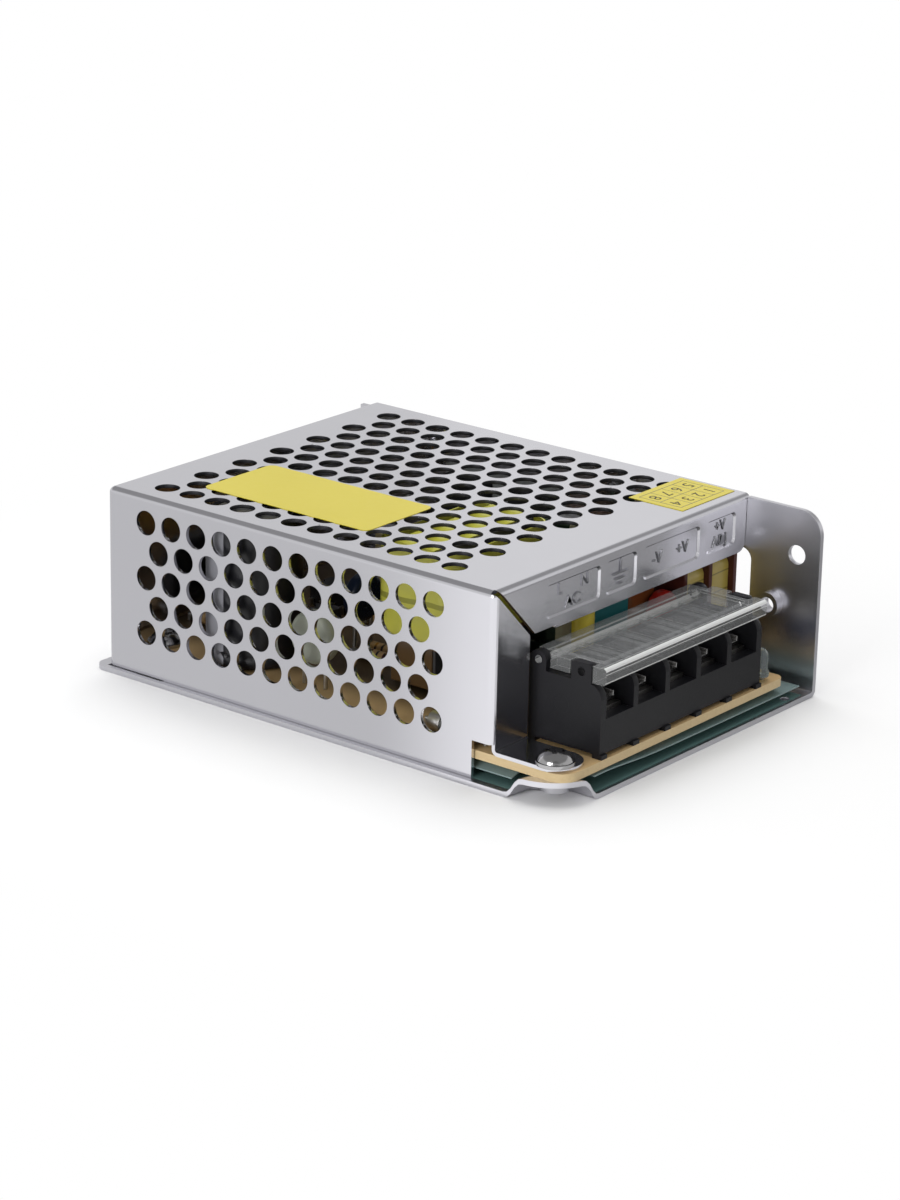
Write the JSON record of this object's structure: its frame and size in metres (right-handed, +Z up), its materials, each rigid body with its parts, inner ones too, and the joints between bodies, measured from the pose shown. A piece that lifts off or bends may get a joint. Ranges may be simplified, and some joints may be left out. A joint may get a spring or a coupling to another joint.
{
  "type": "led power supply",
  "caption": "Switched LED power supply: folded steel case with a perforated cover, circuit board inside, and a screw terminal block with a clear flip-up lid.",
  "frame": {"origin": "centre of the case on the underside of its base", "axes": "+X across the case towards the chassis wall, +Y along the case away from the terminals, +Z up"},
  "size_m": [0.078, 0.11, 0.0361],
  "materials": {
    "sheet_steel": "satin zinc-plated sheet",
    "screw_steel": "bright plated steel",
    "film": "translucent polyester film",
    "board": "tan laminate",
    "label": "yellow coated label",
    "black_moulding": "satin black moulded plastic",
    "clear_moulding": "clear moulded plastic",
    "tinned_brass": "tin-plated brass",
    "plated_steel": "plated steel",
    "ferrite": "dull dark ferrite",
    "black_plastic": "matt black plastic",
    "yellow_tape": "yellow polyester tape",
    "sleeve": "shrunk sleeve over aluminium",
    "teal_case": "teal plastic case",
    "brown_dip": "dipped coating",
    "red_dip": "dipped coating",
    "green_dip": "dipped coating",
    "blue_dip": "dipped coating",
    "powder_core": "painted iron powder",
    "copper": "enamelled copper wire",
    "silicone": "grey silicone sheet",
    "yellow_sleeve": "shrunk yellow sleeve",
    "resistor_body": "lacquered ceramic",
    "fuse_glass": "clear glass",
    "blue_plastic": "blue moulded plastic",
    "white_plastic": "white moulded plastic",
    "lamp": "clear tinted epoxy"
  },
  "bodies": {
    "base": {"chassis": "sheet_steel", "cover": "sheet_steel", "cover_screws": "screw_steel", "board_screws": "screw_steel", "insulation_film": "film", "circuit_board": "board", "component_leads": "tinned_brass", "plain_label": "label", "number_label": "label", "terminal_housing": "black_moulding", "terminal_contacts": "tinned_brass", "clamp_washers": "plated_steel", "transformer_core": "ferrite", "transformer_bobbin": "black_plastic", "transformer_winding": "yellow_tape", "transformer_band": "yellow_tape", "transformer_jacket": "yellow_tape", "upright_resistor": "yellow_sleeve", "bulk_capacitor": "sleeve", "output_capacitors": "sleeve", "small_capacitors": "sleeve", "film_capacitor": "teal_case", "dipped_capacitor": "brown_dip", "surge_disc": "red_dip", "inrush_disc": "green_dip", "safety_capacitor": "blue_dip", "choke_core": "ferrite", "choke_bobbin": "black_plastic", "choke_windings": "yellow_tape", "toroid_core": "powder_core", "toroid_winding": "copper", "bridge_rectifier": "black_plastic", "power_transistor": "black_plastic", "output_rectifier": "black_plastic", "silicone_sheet": "silicone", "clamp_bar": "plated_steel", "clamp_screw": "screw_steel", "control_chip": "black_plastic", "optocoupler": "black_plastic", "resistors": "resistor_body", "fuse_tube": "fuse_glass", "fuse_caps": "tinned_brass", "trimmer_body": "blue_plastic", "indicator_led": "lamp"},
    "lid": {"terminal_lid": "clear_moulding"},
    "screw_1": {"terminal_screw_1": "screw_steel"},
    "screw_2": {"terminal_screw_2": "screw_steel"},
    "screw_3": {"terminal_screw_3": "screw_steel"},
    "screw_4": {"terminal_screw_4": "screw_steel"},
    "screw_5": {"terminal_screw_5": "screw_steel"},
    "rotor": {"trimmer_rotor": "white_plastic"}
  },
  "joints": [
    {"name": "lid_hinge", "type": "hinge", "parent": "base", "child": "lid", "pos_m": [-0.00185, -0.0394, 0.0212], "axis": [-1, 0, 0], "range_deg": [0, 72]},
    {"name": "screw_1_turn", "type": "hinge", "parent": "base", "child": "screw_1", "pos_m": [-0.02085, -0.046, 0.0156], "axis": [0, 0, 1], "continuous": true},
    {"name": "screw_2_turn", "type": "hinge", "parent": "base", "child": "screw_2", "pos_m": [-0.01135, -0.046, 0.0156], "axis": [0, 0, 1], "continuous": true},
    {"name": "screw_3_turn", "type": "hinge", "parent": "base", "child": "screw_3", "pos_m": [-0.00185, -0.046, 0.0156], "axis": [0, 0, 1], "continuous": true},
    {"name": "screw_4_turn", "type": "hinge", "parent": "base", "child": "screw_4", "pos_m": [0.00765, -0.046, 0.0156], "axis": [0, 0, 1], "continuous": true},
    {"name": "screw_5_turn", "type": "hinge", "parent": "base", "child": "screw_5", "pos_m": [0.01715, -0.046, 0.0156], "axis": [0, 0, 1], "continuous": true},
    {"name": "trimmer_turn", "type": "hinge", "parent": "base", "child": "rotor", "pos_m": [0.0269, -0.0454, 0.0112], "axis": [0, 0, 1], "range_deg": [-135, 135]}
  ]
}
